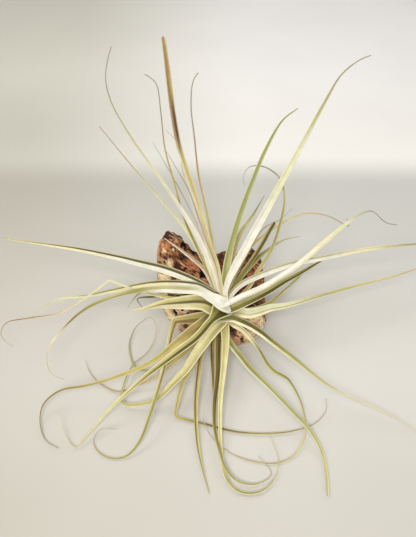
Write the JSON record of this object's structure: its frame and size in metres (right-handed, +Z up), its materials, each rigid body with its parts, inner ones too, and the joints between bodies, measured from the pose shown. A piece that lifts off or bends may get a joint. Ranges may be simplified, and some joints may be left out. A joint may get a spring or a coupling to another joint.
{
  "type": "air plant on a wood block",
  "caption": "Straminea hybrid air plant: an open rosette of long, channelled silver and olive leaves with curling tips, rooted on the front of a rough block of wood.",
  "frame": {"origin": "on the flat underside of the wood block, under its middle, at the level of the surface that it stands on", "axes": "+Z up from the surface; -Y towards the front, the side that the crown leans to; +X to the right seen from the front"},
  "size_m": [0.4627, 0.3616, 0.2743],
  "materials": {
    "silver_leaf": "matt, velvety with fine scales",
    "olive_leaf": "matt, finely scaled",
    "dry_leaf": "matt, dry",
    "wood": "rough, weathered"
  },
  "bodies": {
    "root": {"crown": "silver_leaf", "leaf_centre_dried": "dry_leaf", "leaf_back_tall_right": "silver_leaf", "leaf_back_tall_left": "silver_leaf", "leaf_back_hooked_right": "silver_leaf", "leaf_back_hooked_left": "dry_leaf", "leaf_back_thin_left": "silver_leaf", "leaf_back_green": "olive_leaf", "leaf_back_dark": "olive_leaf", "leaf_back_loop": "olive_leaf", "wisp_back_pale": "dry_leaf", "wisp_back_red": "dry_leaf", "wisp_back_short": "dry_leaf", "wisp_back_grey": "dry_leaf", "leaf_right_tan_arch": "dry_leaf", "leaf_right_broken": "dry_leaf", "leaf_right_dark_arch": "olive_leaf", "leaf_right_curled": "silver_leaf", "leaf_right_long_upper": "silver_leaf", "leaf_right_olive": "olive_leaf", "leaf_right_low": "olive_leaf", "leaf_right_kinked": "silver_leaf", "leaf_front_right_long": "silver_leaf", "leaf_front_right_twisted": "olive_leaf", "leaf_front_right_down": "olive_leaf", "leaf_front_broad": "olive_leaf", "leaf_front_dark": "olive_leaf", "leaf_front_short": "olive_leaf", "leaf_front_left": "olive_leaf", "leaf_front_kinked": "dry_leaf", "leaf_front_left_broad": "olive_leaf", "leaf_front_left_green": "olive_leaf", "leaf_front_left_tan": "dry_leaf", "leaf_front_left_loop": "olive_leaf", "leaf_left_far_curl": "olive_leaf", "leaf_left_kinked_drop": "silver_leaf", "leaf_left_pale_fold": "silver_leaf", "leaf_left_brown_tip": "dry_leaf", "leaf_left_upper_white": "silver_leaf", "leaf_left_curved_white": "silver_leaf", "leaf_left_long": "silver_leaf", "leaf_left_pink_short": "silver_leaf", "wisp_left_kinked": "dry_leaf", "wisp_left_low": "dry_leaf", "wood": "wood"}
  },
  "joints": []
}
